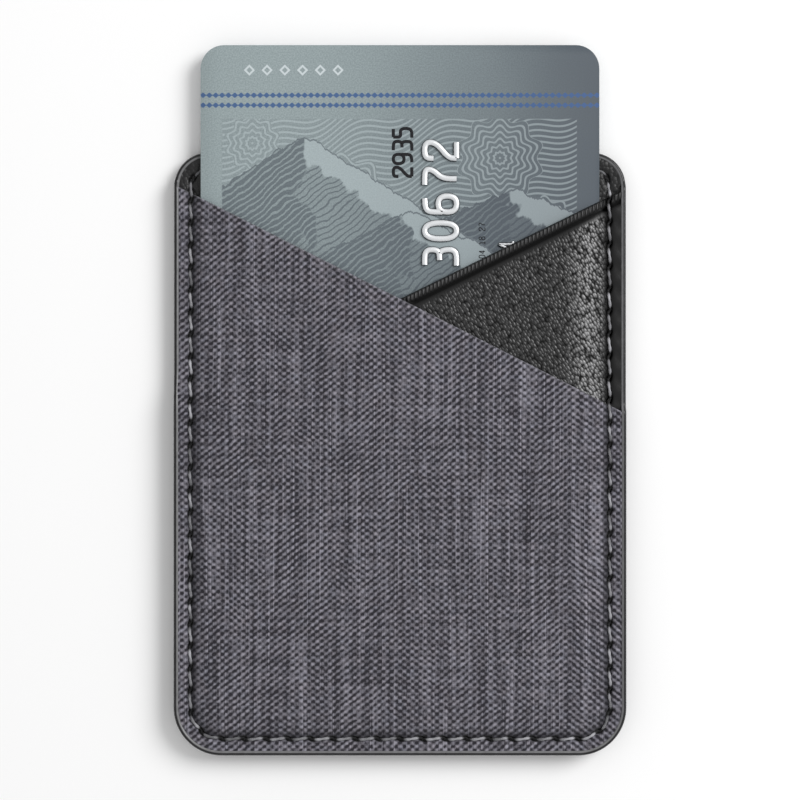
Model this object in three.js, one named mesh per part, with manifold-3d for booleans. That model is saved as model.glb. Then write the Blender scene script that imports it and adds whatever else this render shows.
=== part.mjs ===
import * as THREE from 'three';
import { mergeVertices } from 'three/addons/utils/BufferGeometryUtils.js';
import Module from 'manifold-3d';

// A card holder that sticks to the back of a phone, lying on its back with a card in its pocket.
// Millimetres. X is the width, Y points to the pocket's mouth, and Z rises from the sticking side.

const wasm = await Module();
wasm.setup();

// Card
const CARD_WIDTH = 53.98;
const CARD_LENGTH = 85.6;
const CARD_THICKNESS = 0.76;
const CARD_CORNER_RADIUS = 3.18;
const CARD_DRAWN_OUT = 7;
const CARD_SIDE_PLAY = 0.11;
const CARD_TOP_ROOM = 0.49;

// Outline of the holder
const HOLDER_HEIGHT = 81.6;
const TOP_CORNER_RADIUS = 4.5;
const BOTTOM_CORNER_RADIUS = 6.5;
const LEAST_CORNER_RADIUS = 0.2;

// Pressed rim round the pocket, and the shoulder where the front panels rise from it
const RIM_WIDTH = 2.7;
const SHOULDER_WIDTH = 0.8;
const SHOULDER_LEAD = 0.05;
const SHOULDER_REACH = 0.35;

// Layers, from the sticking side to the front
const LINER_THICKNESS = 0.15;
const PAD_THICKNESS = 0.4;
const BACK_THICKNESS = 1.1;
const LEATHER_THICKNESS = 0.7;
const FABRIC_THICKNESS = 0.7;
const PAD_INSET = 3.6;
const LINER_OVERHANG = 0.4;

// Slanting top edges of the two front panels, which cross on the centre line
const CROSSING_HEIGHT = 20.9;
const FABRIC_EDGE_DEGREES = 26.9;
const LEATHER_EDGE_DEGREES = 26.1;
const DRAPE_LENGTH = 5;

// Crease pressed beside the leather's top edge
const CREASE_INSET = 1.3;
const CREASE_WIDTH = 0.5;
const CREASE_DEPTH = 0.2;

// Seam
const SEAM_INSET = 2.25;
const STITCH_LENGTH = 3;
const THREAD_DIAMETER = 0.4;
const STITCH_RISE = 0.2;
const GROOVE_WIDTH = 0.7;
const GROOVE_DEPTH = 0.45;
const THREAD_SEAT = 0.03;
const THREAD_CLIMB_START = 0.15;
const THREAD_CLIMB = 1.2;

// Bead of paint on the outer edge
const COAT_WIDTH = 0.4;
const COAT_ROUNDING = 0.15;
const COAT_CLIMB = 0.6;

// Fineness of the solids
const CORNER_STEPS = 8;
const SHOULDER_STEPS = 4;
const THREAD_SIDES = 6;
const THREAD_STEPS_PER_STITCH = 4;

// Worked out from the sizes above
const HOLDER_WIDTH = CARD_WIDTH + 2 * (CARD_SIDE_PLAY + SHOULDER_WIDTH + RIM_WIDTH);
const HALF_WIDTH = HOLDER_WIDTH / 2;
const HALF_HEIGHT = HOLDER_HEIGHT / 2;
const PAD_TOP = LINER_THICKNESS + PAD_THICKNESS;
const BACK_TOP = PAD_TOP + BACK_THICKNESS;
const POCKET_DEPTH = CARD_THICKNESS + CARD_TOP_ROOM;
const REACH = 2 * Math.hypot(HOLDER_WIDTH, HOLDER_HEIGHT);
const THREAD_RADIUS = THREAD_DIAMETER / 2;
const FABRIC_EDGE = THREE.MathUtils.degToRad(-FABRIC_EDGE_DEGREES);
const LEATHER_EDGE = THREE.MathUtils.degToRad(LEATHER_EDGE_DEGREES);

const COLOURS = {
  liner: { color: '#e9e5d8', roughness: 0.55 },
  pad: { color: '#d9dad8', roughness: 0.6 },
  back: { color: '#39393b', roughness: 0.6 },
  leather: { color: '#474648', roughness: 0.45 },
  fabric: { color: '#5e5d63', roughness: 0.95 },
  thread: { color: '#78777d', roughness: 0.7 },
  coat: { color: '#1c1c1e', roughness: 0.35 },
  card: { color: '#8b999f', roughness: 0.35, metalness: 0.35 },
};

// Plan outline

// Points of the rounded outline, counterclockwise, moved in by an inset
function outline(inset) {
  const corners = [
    [1, -1, BOTTOM_CORNER_RADIUS],
    [1, 1, TOP_CORNER_RADIUS],
    [-1, 1, TOP_CORNER_RADIUS],
    [-1, -1, BOTTOM_CORNER_RADIUS],
  ];
  const points = [];
  corners.forEach(([sideX, sideY, fullRadius], quarter) => {
    const radius = Math.max(fullRadius - inset, LEAST_CORNER_RADIUS);
    const centreX = sideX * (HALF_WIDTH - inset - radius);
    const centreY = sideY * (HALF_HEIGHT - inset - radius);
    for (let step = 0; step <= CORNER_STEPS; step += 1) {
      const angle = (quarter - 1 + step / CORNER_STEPS) * Math.PI / 2;
      points.push([centreX + radius * Math.cos(angle), centreY + radius * Math.sin(angle)]);
    }
  });
  return points;
}

// How far a place lies below a panel's slanting top edge; above the edge it is negative
function depthBelow(edgeAngle, x, y) {
  return x * Math.sin(edgeAngle) - (y - CROSSING_HEIGHT) * Math.cos(edgeAngle);
}

// Share of a layer's thickness that lifts what runs over its end, outside that end
function rampShare(depth, start, length) {
  return THREE.MathUtils.clamp(1 + (depth + start) / length, 0, 1);
}

// Height of the flattened stack of layers above the back panel at a place near the edge
function stackHeight(x, y, start, climb) {
  const leatherDepth = depthBelow(LEATHER_EDGE, x, y);
  const fabricDepth = depthBelow(FABRIC_EDGE, x, y);
  const leatherShare = fabricDepth >= 0
    ? rampShare(leatherDepth, 0, DRAPE_LENGTH)
    : rampShare(leatherDepth, start, climb);
  const fabricShare = rampShare(fabricDepth, start, climb);
  return LEATHER_THICKNESS * leatherShare + FABRIC_THICKNESS * fabricShare;
}

// Mesh building

// Sheet whose upper and lower faces are stacks of rings, both listed from the outer wall inwards
function ringSheet(upper, lower) {
  const vertices = [];
  const faces = [];
  const addRing = ({ inset, z }) => {
    const first = vertices.length;
    outline(inset).forEach(([x, y]) => vertices.push([x, y, z]));
    return first;
  };
  const upperRings = upper.map(addRing);
  const lowerRings = lower.map(addRing);
  const count = outline(0).length;
  const band = (outer, inner) => {
    for (let k = 0; k < count; k += 1) {
      const next = (k + 1) % count;
      faces.push([outer + k, outer + next, inner + next]);
      faces.push([outer + k, inner + next, inner + k]);
    }
  };
  const cap = (ring, pointsUp) => {
    const flat = vertices.slice(ring, ring + count).map(([x, y]) => new THREE.Vector2(x, y));
    THREE.ShapeUtils.triangulateShape(flat, []).forEach(([a, b, c]) => {
      faces.push(pointsUp ? [ring + a, ring + b, ring + c] : [ring + a, ring + c, ring + b]);
    });
  };
  for (let i = 1; i < upperRings.length; i += 1) {
    band(upperRings[i - 1], upperRings[i]);
  }
  for (let i = 1; i < lowerRings.length; i += 1) {
    band(lowerRings[i], lowerRings[i - 1]);
  }
  band(lowerRings[0], upperRings[0]);
  cap(upperRings.at(-1), true);
  cap(lowerRings.at(-1), false);
  return { vertices, faces };
}

// Closed loop with a section that runs counterclockwise, its points given for each station
function loop(stations) {
  const vertices = stations.flat();
  const faces = [];
  const sides = stations[0].length;
  stations.forEach((station, k) => {
    const next = (k + 1) % stations.length;
    for (let j = 0; j < sides; j += 1) {
      const above = (j + 1) % sides;
      faces.push([k * sides + j, next * sides + j, next * sides + above]);
      faces.push([k * sides + j, next * sides + above, k * sides + above]);
    }
  });
  return { vertices, faces };
}

// Loop round the outline from a section of insets and heights
function ringLoop(section) {
  const rings = section.map(({ inset }) => outline(inset));
  const stations = rings[0].map((_, k) => section.map(({ z }, j) => [...rings[j][k], z]));
  return loop(stations);
}

// Splits the faces along the line where a field of x and y takes a value
function sliceAlong(mesh, field, value) {
  const vertices = mesh.vertices.slice();
  const offsets = vertices.map(([x, y]) => field(x, y) - value);
  const crossings = new Map();
  const crossing = (a, b) => {
    const key = a < b ? `${a} ${b}` : `${b} ${a}`;
    if (!crossings.has(key)) {
      const [from, to] = a < b ? [a, b] : [b, a];
      const share = offsets[from] / (offsets[from] - offsets[to]);
      const point = vertices[from].map((c, i) => c + share * (vertices[to][i] - c));
      crossings.set(key, vertices.length);
      vertices.push(point);
    }
    return crossings.get(key);
  };
  const faces = mesh.faces.flatMap((face) => {
    const lone = [0, 1, 2].find((i) => {
      const own = offsets[face[i]] > 0;
      return own !== offsets[face[(i + 1) % 3]] > 0 && own !== offsets[face[(i + 2) % 3]] > 0;
    });
    if (lone === undefined) {
      return [face];
    }
    const tip = face[lone];
    const second = face[(lone + 1) % 3];
    const third = face[(lone + 2) % 3];
    const near = crossing(tip, second);
    const far = crossing(tip, third);
    return [[tip, near, far], [near, second, third], [near, third, far]];
  });
  return { vertices, faces };
}

// Moves each vertex up by a lift that depends on its place
function lifted(mesh, lift) {
  const vertices = mesh.vertices.map(([x, y, z]) => [x, y, z + lift(x, y, z)]);
  return { vertices, faces: mesh.faces };
}

// Solids

function solidFromMesh({ vertices, faces }) {
  const mesh = new wasm.Mesh({
    numProp: 3,
    vertProperties: Float32Array.from(vertices.flat()),
    triVerts: Uint32Array.from(faces.flat()),
  });
  return new wasm.Manifold(mesh);
}

function solidFromGeometry(geometry) {
  const bare = geometry.clone();
  bare.deleteAttribute('normal');
  bare.deleteAttribute('uv');
  const merged = mergeVertices(bare);
  const mesh = new wasm.Mesh({
    numProp: 3,
    vertProperties: merged.attributes.position.array,
    triVerts: Uint32Array.from(merged.index.array),
  });
  return new wasm.Manifold(mesh);
}

function meshFromSolid(solid) {
  const { numProp, vertProperties, triVerts } = solid.getMesh();
  const vertices = [];
  for (let i = 0; i < vertProperties.length; i += numProp) {
    vertices.push([...vertProperties.slice(i, i + 3)]);
  }
  const faces = [];
  for (let i = 0; i < triVerts.length; i += 3) {
    faces.push([...triVerts.slice(i, i + 3)]);
  }
  return { vertices, faces };
}

// Block that holds everything below a slanting edge
function blockBelow(edgeAngle) {
  const block = new THREE.BoxGeometry(REACH, REACH, REACH);
  block.translate(0, -REACH / 2, 0);
  block.rotateZ(edgeAngle);
  block.translate(0, CROSSING_HEIGHT, 0);
  return solidFromGeometry(block);
}

function named(name, { vertices, faces }, look) {
  const geometry = new THREE.BufferGeometry();
  geometry.setAttribute('position', new THREE.Float32BufferAttribute(vertices.flat(), 3));
  geometry.setIndex(faces.flat());
  geometry.computeVertexNormals();
  const mesh = new THREE.Mesh(geometry, new THREE.MeshStandardMaterial({ ...look, flatShading: true }));
  mesh.name = name;
  return mesh;
}

// Front panels: a flat rim, a shoulder and a raised middle

// Rings of one face of the stack, with the number of layers between it and the pocket
function panelRings(rimHeight, layers) {
  const start = RIM_WIDTH - layers * SHOULDER_LEAD;
  const width = SHOULDER_WIDTH + layers * (SHOULDER_LEAD + SHOULDER_REACH);
  const rings = [{ inset: COAT_WIDTH, z: rimHeight }];
  for (let step = 0; step <= SHOULDER_STEPS; step += 1) {
    const share = step / SHOULDER_STEPS;
    const rise = THREE.MathUtils.smoothstep(share, 0, 1);
    rings.push({ inset: start + width * share, z: rimHeight + POCKET_DEPTH * rise });
  }
  return rings;
}

// Groove that the seam lies in, cut down from a rim's face or up into it
function seamGroove(faceHeight, direction) {
  const deep = faceHeight - direction * GROOVE_DEPTH;
  const clear = faceHeight + direction * GROOVE_DEPTH;
  const outer = SEAM_INSET - GROOVE_WIDTH / 2;
  const inner = SEAM_INSET + GROOVE_WIDTH / 2;
  const low = Math.min(deep, clear);
  const high = Math.max(deep, clear);
  const section = [
    { inset: outer, z: low },
    { inset: outer, z: high },
    { inset: inner, z: high },
    { inset: inner, z: low },
  ];
  return solidFromMesh(ringLoop(section));
}

function leatherCrease(topHeight) {
  const crease = new THREE.BoxGeometry(REACH, CREASE_WIDTH, 2 * CREASE_DEPTH);
  crease.translate(0, -CREASE_INSET, topHeight);
  crease.rotateZ(LEATHER_EDGE);
  crease.translate(0, CROSSING_HEIGHT, 0);
  return solidFromGeometry(crease);
}

function leatherPanel() {
  const rimTop = BACK_TOP + LEATHER_THICKNESS;
  const sheet = solidFromMesh(ringSheet(panelRings(rimTop, 1), panelRings(BACK_TOP, 0)));
  const bareGroove = seamGroove(rimTop, 1).subtract(blockBelow(FABRIC_EDGE));
  const panel = sheet
    .intersect(blockBelow(LEATHER_EDGE))
    .subtract(bareGroove)
    .subtract(leatherCrease(rimTop + POCKET_DEPTH));
  return named('leather_panel', meshFromSolid(panel), COLOURS.leather);
}

function fabricPanel() {
  const rimBottom = BACK_TOP + LEATHER_THICKNESS;
  const rimTop = rimBottom + FABRIC_THICKNESS;
  const sheet = solidFromMesh(ringSheet(panelRings(rimTop, 2), panelRings(rimBottom, 1)));
  const panel = sheet
    .subtract(seamGroove(rimTop, 1))
    .intersect(blockBelow(FABRIC_EDGE));
  const leatherDepth = (x, y) => depthBelow(LEATHER_EDGE, x, y);
  const overLeather = sliceAlong(meshFromSolid(panel), leatherDepth, 0);
  const draped = sliceAlong(overLeather, leatherDepth, -DRAPE_LENGTH);
  const drop = (x, y) => LEATHER_THICKNESS * (rampShare(leatherDepth(x, y), 0, DRAPE_LENGTH) - 1);
  return named('fabric_panel', lifted(draped, drop), COLOURS.fabric);
}

// Back panel and what sticks it down

function plate(inset, low, high) {
  return ringSheet([{ inset, z: high }], [{ inset, z: low }]);
}

function backPanel() {
  const bareGroove = seamGroove(BACK_TOP, 1)
    .subtract(blockBelow(FABRIC_EDGE))
    .subtract(blockBelow(LEATHER_EDGE));
  const panel = solidFromMesh(plate(COAT_WIDTH, PAD_TOP, BACK_TOP))
    .subtract(bareGroove)
    .subtract(seamGroove(PAD_TOP, -1));
  return named('back_panel', meshFromSolid(panel), COLOURS.back);
}

function adhesivePad() {
  return named('adhesive_pad', plate(PAD_INSET, LINER_THICKNESS, PAD_TOP), COLOURS.pad);
}

function releaseLiner() {
  return named('release_liner', plate(PAD_INSET - LINER_OVERHANG, 0, LINER_THICKNESS), COLOURS.liner);
}

// Edge coating: a rounded bead as high as the layers that it covers

function edgeCoating() {
  const section = [
    { inset: COAT_WIDTH, z: PAD_TOP },
    { inset: COAT_ROUNDING, z: PAD_TOP },
    { inset: 0, z: PAD_TOP + COAT_ROUNDING },
    { inset: 0, z: BACK_TOP - COAT_ROUNDING },
    { inset: COAT_ROUNDING, z: BACK_TOP },
    { inset: COAT_WIDTH, z: BACK_TOP },
  ];
  const fabricDepth = (x, y) => depthBelow(FABRIC_EDGE, x, y);
  const leatherDepth = (x, y) => depthBelow(LEATHER_EDGE, x, y);
  const cuts = [
    [fabricDepth, 0],
    [fabricDepth, -COAT_CLIMB],
    [leatherDepth, 0],
    [leatherDepth, -COAT_CLIMB],
    [leatherDepth, -DRAPE_LENGTH],
  ];
  const sliced = cuts.reduce((mesh, [field, value]) => sliceAlong(mesh, field, value), ringLoop(section));
  const middle = (PAD_TOP + BACK_TOP) / 2;
  const lift = (x, y, z) => (z > middle ? stackHeight(x, y, 0, COAT_CLIMB) : 0);
  return named('edge_coating', lifted(sliced, lift), COLOURS.coat);
}

// Threads: each one a single wavy line round the whole seam

// Evenly spaced places on the seam, a whole number of stitches long
function seamStations() {
  const seam = outline(SEAM_INSET).map(([x, y]) => new THREE.Vector2(x, y));
  const path = new THREE.Path(seam);
  path.closePath();
  const stitches = Math.round(path.getLength() / STITCH_LENGTH);
  const count = stitches * THREAD_STEPS_PER_STITCH;
  return Array.from({ length: count }, (_, i) => ({
    place: path.getPointAt(i / count),
    along: path.getTangentAt(i / count),
    wave: 0.5 - 0.5 * Math.cos(2 * Math.PI * i / THREAD_STEPS_PER_STITCH),
  }));
}

// Tube along the seam at a height that depends on the place and on the stitch's wave
function seamThread(name, height) {
  const stations = seamStations().map(({ place, along, wave }) => {
    const outX = along.y;
    const outY = -along.x;
    const centre = height(place.x, place.y, wave);
    return Array.from({ length: THREAD_SIDES }, (_, j) => {
      const angle = 2 * Math.PI * j / THREAD_SIDES;
      const out = THREAD_RADIUS * Math.cos(angle);
      return [place.x + out * outX, place.y + out * outY, centre + THREAD_RADIUS * Math.sin(angle)];
    });
  });
  return named(name, loop(stations), COLOURS.thread);
}

function needleThread() {
  const seated = BACK_TOP - GROOVE_DEPTH + THREAD_SEAT + THREAD_RADIUS;
  return seamThread('needle_thread', (x, y, wave) => {
    const stack = stackHeight(x, y, THREAD_CLIMB_START, THREAD_CLIMB);
    const covered = THREE.MathUtils.clamp(stack / LEATHER_THICKNESS, 0, 1);
    return seated + stack + STITCH_RISE * wave * covered;
  });
}

function bobbinThread() {
  const seated = PAD_TOP + GROOVE_DEPTH - THREAD_SEAT - THREAD_RADIUS;
  return seamThread('bobbin_thread', (x, y, wave) => seated - STITCH_RISE * wave);
}

// Card, lying on the pocket's floor and partly drawn out

function card() {
  const halfWidth = CARD_WIDTH / 2;
  const halfLength = CARD_LENGTH / 2;
  const radius = CARD_CORNER_RADIUS;
  const shape = new THREE.Shape();
  shape.absarc(halfWidth - radius, radius - halfLength, radius, -Math.PI / 2, 0);
  shape.absarc(halfWidth - radius, halfLength - radius, radius, 0, Math.PI / 2);
  shape.absarc(radius - halfWidth, halfLength - radius, radius, Math.PI / 2, Math.PI);
  shape.absarc(radius - halfWidth, radius - halfLength, radius, Math.PI, 1.5 * Math.PI);
  const geometry = new THREE.ExtrudeGeometry(shape, {
    depth: CARD_THICKNESS,
    bevelEnabled: false,
    curveSegments: CORNER_STEPS,
  });
  const pocketEnd = RIM_WIDTH + SHOULDER_WIDTH - HALF_HEIGHT;
  geometry.translate(0, pocketEnd + CARD_DRAWN_OUT + halfLength, BACK_TOP);
  return named('card', meshFromSolid(solidFromGeometry(geometry)), COLOURS.card);
}

const group = new THREE.Group();
group.add(releaseLiner());
group.add(adhesivePad());
group.add(backPanel());
group.add(leatherPanel());
group.add(fabricPanel());
group.add(needleThread());
group.add(bobbinThread());
group.add(edgeCoating());
group.add(card());

export default group;
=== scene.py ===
import math
from functools import partial
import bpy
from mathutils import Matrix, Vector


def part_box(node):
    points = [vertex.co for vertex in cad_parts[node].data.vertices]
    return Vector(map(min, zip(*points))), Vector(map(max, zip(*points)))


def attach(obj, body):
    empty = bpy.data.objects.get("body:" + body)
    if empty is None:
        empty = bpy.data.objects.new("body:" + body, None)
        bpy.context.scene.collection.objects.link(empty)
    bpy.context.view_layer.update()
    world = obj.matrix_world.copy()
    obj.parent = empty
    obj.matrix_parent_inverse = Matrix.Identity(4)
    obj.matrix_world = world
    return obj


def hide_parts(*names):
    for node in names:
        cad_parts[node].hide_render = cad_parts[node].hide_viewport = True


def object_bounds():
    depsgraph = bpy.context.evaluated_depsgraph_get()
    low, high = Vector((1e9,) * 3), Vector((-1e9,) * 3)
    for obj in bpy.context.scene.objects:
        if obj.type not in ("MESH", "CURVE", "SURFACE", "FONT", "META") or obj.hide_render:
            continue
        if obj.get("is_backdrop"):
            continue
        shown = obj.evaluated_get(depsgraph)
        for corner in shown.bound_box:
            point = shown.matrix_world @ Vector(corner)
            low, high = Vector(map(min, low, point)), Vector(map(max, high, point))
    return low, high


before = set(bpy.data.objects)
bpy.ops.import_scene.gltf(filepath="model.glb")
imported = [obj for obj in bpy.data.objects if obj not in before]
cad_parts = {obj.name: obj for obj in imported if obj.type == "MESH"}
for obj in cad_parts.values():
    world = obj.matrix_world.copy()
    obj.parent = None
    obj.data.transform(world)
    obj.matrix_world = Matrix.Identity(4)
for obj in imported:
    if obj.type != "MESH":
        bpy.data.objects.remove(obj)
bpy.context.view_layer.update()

from types import SimpleNamespace

import bpy
import numpy as np
from bpy.props import FloatProperty, FloatVectorProperty, PointerProperty, StringProperty
from mathutils import Matrix, Vector
from mathutils.geometry import delaunay_2d_cdt

bl_info = {
    "name": "Stick-on card holder",
    "version": (1, 0, 0),
    "blender": (4, 5, 0),
    "location": "View3D > Sidebar > Card holder",
    "description": "Dresses the card holder's frame with its leather, fabric, seam and card",
    "category": "Object",
}

MM = 0.001
BODY = "root"

# Places taken from the frame, in millimetres
HALF_WIDTH, HALF_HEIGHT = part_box("edge_coating")[1].x / MM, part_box("edge_coating")[1].y / MM
BACK_BOTTOM, BACK_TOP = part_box("back_panel")[0].z / MM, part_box("back_panel")[1].z / MM
LEATHER_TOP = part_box("leather_panel")[1].z / MM

# Corners of the card's box, in metres
CARD_LOW, CARD_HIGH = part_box("card")


# Sizes and colours that a user may change

def length(name, millimetres, description):
    return FloatProperty(
        name=name,
        description=description,
        default=millimetres * MM,
        min=0.0,
        precision=5,
        unit="LENGTH",
    )


def colour(name, red, green, blue, description):
    return FloatVectorProperty(
        name=name,
        description=description,
        default=(red, green, blue, 1.0),
        min=0.0,
        max=1.0,
        size=4,
        subtype="COLOR",
    )


class CARDHOLDER_PG_shape(bpy.types.PropertyGroup):
    top_corner: length("Top corner", 4.5, "Radius of the outline's corners at the mouth")
    bottom_corner: length("Bottom corner", 6.5, "Radius of the outline's lower corners")
    rim: length("Rim", 2.6, "Width of the pressed rim")
    shoulder: length("Shoulder", 1.35, "Width of the slope from the rim to the raised middle")
    soft_shoulder: length("Soft shoulder", 4.2, "Width of the gentle slope that goes on above the steep one")
    leather: length("Leather", 0.7, "Thickness of the leather panel")
    fabric: length("Fabric", 0.7, "Thickness of the fabric panel")
    bulge: length("Bulge", 5.5, "Width of the rounded slope on which the bare leather comes down to the seam")
    drape: length("Drape", 5.0, "How far the fabric takes to come down past the leather's end")
    crossing: length("Crossing", 20.9, "Height of the place where the two top edges cross")
    fabric_slant: FloatProperty(
        name="Fabric slant",
        description="Fall of the fabric panel's top edge to the right",
        default=math.radians(26.9),
        subtype="ANGLE",
    )
    leather_slant: FloatProperty(
        name="Leather slant",
        description="Rise of the leather panel's top edge to the right",
        default=math.radians(26.1),
        subtype="ANGLE",
    )
    crown: length("Crown", 0.1, "Height of the soft swell of the raised middle")


class CARDHOLDER_PG_seam(bpy.types.PropertyGroup):
    inset: length("Inset", 2.25, "Distance of the seam from the outer edge")
    stitch: length("Stitch", 3.0, "Length of one stitch")
    thread: length("Thread", 0.4, "Diameter of the sewing thread")
    slant: length("Slant", 0.19, "Sideways lean of each stitch, to each side")
    groove: length("Groove", 0.26, "Depth of the valley that the seam pulls down")
    hole: length("Hole", 0.55, "Depth of the needle holes")
    hole_width: length("Hole width", 0.72, "Width of the needle holes")
    hole_length: length("Hole length", 1.25, "Length of the needle holes along the seam")
    bead: length("Bead", 0.68, "Width of the painted bead on the outer edge")
    bead_rise: length("Bead rise", 0.17, "Height of the bead above the panels")


class CARDHOLDER_PG_colours(bpy.types.PropertyGroup):
    yarn_light: colour("Light yarn", 0.295, 0.29, 0.325, "Light yarn of the fabric")
    yarn_dark: colour("Dark yarn", 0.022, 0.021, 0.026, "Dark yarn of the fabric")
    leather: colour("Leather", 0.003, 0.003, 0.0032, "Grained leather")
    leather_worn: colour("Leather ridges", 0.009, 0.009, 0.0094, "Raised grain of the leather")
    thread: colour("Thread", 0.4, 0.4, 0.425, "Sewing thread")
    paint: colour("Edge paint", 0.004, 0.004, 0.0045, "Paint on the outer edge")
    card_light: colour("Card light", 0.325, 0.388, 0.397, "Lighter tone of the card")
    card_dark: colour("Card dark", 0.048, 0.063, 0.083, "Darker tone of the card")
    stripe: colour("Stripe", 0.025, 0.085, 0.24, "The card's two thin stripes")
    tipping: colour("Tipping", 0.86, 0.88, 0.9, "Silver on the raised digits")
    liner: colour("Liner", 0.78, 0.76, 0.68, "Release paper")
    pad: colour("Pad", 0.62, 0.63, 0.62, "Adhesive foam")


class CARDHOLDER_PG_stage(bpy.types.PropertyGroup):
    lens: FloatProperty(name="Lens", description="Focal length", default=110.0, min=20.0, unit="CAMERA")
    margin: FloatProperty(
        name="Margin",
        description="Height of the view as a multiple of the object's height",
        default=1.12,
        min=1.0,
        subtype="FACTOR",
    )
    key: FloatProperty(
        name="Key",
        description="Power of the lamp at the upper right",
        default=6.4,
        unit="POWER",
    )
    sky: FloatProperty(
        name="Sky",
        description="Strength of the even light all round",
        default=0.6,
        min=0.0,
        subtype="FACTOR",
    )


# Plan of the holder, in millimetres

def ramp(value, start, end):
    """0 below the start, 1 above the end, smooth between."""
    share = np.clip((value - start) / (end - start), 0.0, 1.0)
    return share * share * (3.0 - 2.0 * share)


def corner_radius(shape, y):
    return np.where(np.asarray(y) > 0, shape.top_corner, shape.bottom_corner)


def inset_of(shape, x, y):
    """Distance inwards from the outline."""
    radius = corner_radius(shape, y)
    over_x = np.abs(x) - (HALF_WIDTH - radius)
    over_y = np.abs(y) - (HALF_HEIGHT - radius)
    in_corner = (over_x > 0) & (over_y > 0)
    round_inset = radius - np.hypot(over_x, over_y)
    flat_inset = np.minimum(HALF_WIDTH - np.abs(x), HALF_HEIGHT - np.abs(y))
    return np.where(in_corner, round_inset, flat_inset)


def outline_runs(shape, inset):
    """Straight and round runs of the outline moved in by an inset, counterclockwise from the lower right."""
    runs = []
    top, bottom = shape.top_corner, shape.bottom_corner
    corners = [
        (HALF_WIDTH - bottom, bottom - HALF_HEIGHT, bottom),
        (HALF_WIDTH - top, HALF_HEIGHT - top, top),
        (top - HALF_WIDTH, HALF_HEIGHT - top, top),
        (bottom - HALF_WIDTH, bottom - HALF_HEIGHT, bottom),
    ]
    for quarter, (x, y, radius) in enumerate(corners):
        following = corners[(quarter + 1) % 4]
        radius = max(radius - inset, 0.05)
        start = (quarter - 1) * math.pi / 2
        runs.append(("arc", x, y, radius, start, radius * math.pi / 2))
        ahead = start + math.pi / 2
        reach = math.hypot(following[0] - x, following[1] - y)
        runs.append(("line", x + radius * math.cos(ahead), y + radius * math.sin(ahead), ahead, 0.0, reach))
    return runs


def outline_length(shape, inset):
    return sum(run[-1] for run in outline_runs(shape, inset))


def outline_points(shape, inset, shares):
    """Points and outward directions at shares of the way round the outline."""
    runs = outline_runs(shape, inset)
    total = sum(run[-1] for run in runs)
    places = np.asarray(shares, dtype=float) % 1.0 * total
    points = np.zeros((len(places), 2))
    outwards = np.zeros((len(places), 2))
    passed = 0.0
    for kind, x, y, size, start, reach in runs:
        here = (places >= passed) & (places <= passed + reach)
        along = places[here] - passed
        if kind == "arc":
            angle = start + along / size
            outward = np.stack([np.cos(angle), np.sin(angle)], axis=1)
            points[here] = np.array([x, y]) + size * outward
        else:
            outward = np.tile([math.cos(size), math.sin(size)], (len(along), 1))
            ahead = np.array([-math.sin(size), math.cos(size)])
            points[here] = np.array([x, y]) + along[:, None] * ahead
        outwards[here] = outward
        passed += reach
    return points, outwards


def seam_share(shape, seam, x, y):
    """Share of the way round the seam of the place on it that is nearest to a point."""
    inset = seam.inset
    runs = outline_runs(shape, inset)
    total = sum(run[-1] for run in runs)
    nearest = np.full(np.shape(x), np.inf)
    place = np.zeros(np.shape(x))
    passed = 0.0
    for kind, run_x, run_y, size, start, reach in runs:
        if kind == "arc":
            turned = (np.arctan2(y - run_y, x - run_x) - start + math.pi / 4) % (2 * math.pi) - math.pi / 4
            along = np.clip(turned, 0.0, math.pi / 2) * size
            angle = start + along / size
            away = np.hypot(x - run_x - size * np.cos(angle), y - run_y - size * np.sin(angle))
        else:
            step_x, step_y = -math.sin(size), math.cos(size)
            along = np.clip((x - run_x) * step_x + (y - run_y) * step_y, 0.0, reach)
            away = np.hypot(x - run_x - along * step_x, y - run_y - along * step_y)
        closer = away < nearest
        nearest = np.where(closer, away, nearest)
        place = np.where(closer, passed + along, place)
        passed += reach
    return place / total


def stitch_count(shape, seam):
    return round(outline_length(shape, seam.inset) / seam.stitch)


def depth_below(shape, slant, x, y):
    """Distance below a slanting top edge; above the edge it is negative."""
    return x * math.sin(slant) - (y - shape.crossing) * math.cos(slant)


def fabric_depth(shape, x, y):
    return depth_below(shape, -shape.fabric_slant, x, y)


def leather_depth(shape, x, y):
    return depth_below(shape, shape.leather_slant, x, y)


# Heights of the layers, in millimetres
SHOULDER_LEAD = 0.05
STEEP_WIDTHS = (0.55, 0.775, 1.0)
SOFT_LEAD = 0.2
SOFT_SHARE_BELOW, SOFT_SHARE_ABOVE = 0.34, 0.5
SWELL_START, SWELL_END = 2.5, 8.0
HOLE_LEAN = 0.3
VALLEY_WIDTH, PINCH_LENGTH = 0.36, 0.9

# Each pillow beside the seam: its height, its distance outwards from the seam, and its width
PILLOWS = ((0.09, 0.95, 0.65), (0.06, -0.8, 0.5))

# Each painted shade of the fold: its strength, its distance inwards from the seam, and its width
FOLD_SHADES = ((0.8, 0.45, 0.45), (0.35, 0.0, 0.3))


def hump(value, middle, width):
    """Smooth hump, 1 high at its middle."""
    return np.exp(-(((value - middle) / width) ** 2))


def shoulder_rise(shape, inset, layers):
    """Height of a face above the rim: most of it in a steep slope, the rest in a long soft one."""
    depth = LEATHER_TOP - BACK_TOP - shape.leather
    start = shape.rim + SHOULDER_LEAD * (2 - layers)
    steep = ramp(inset, start, start + shape.shoulder * STEEP_WIDTHS[layers])
    soft = ramp(inset, start + SOFT_LEAD, start + shape.soft_shoulder)
    share = SOFT_SHARE_ABOVE if layers else SOFT_SHARE_BELOW
    return depth * ((1.0 - share) * steep + share * soft)


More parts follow.
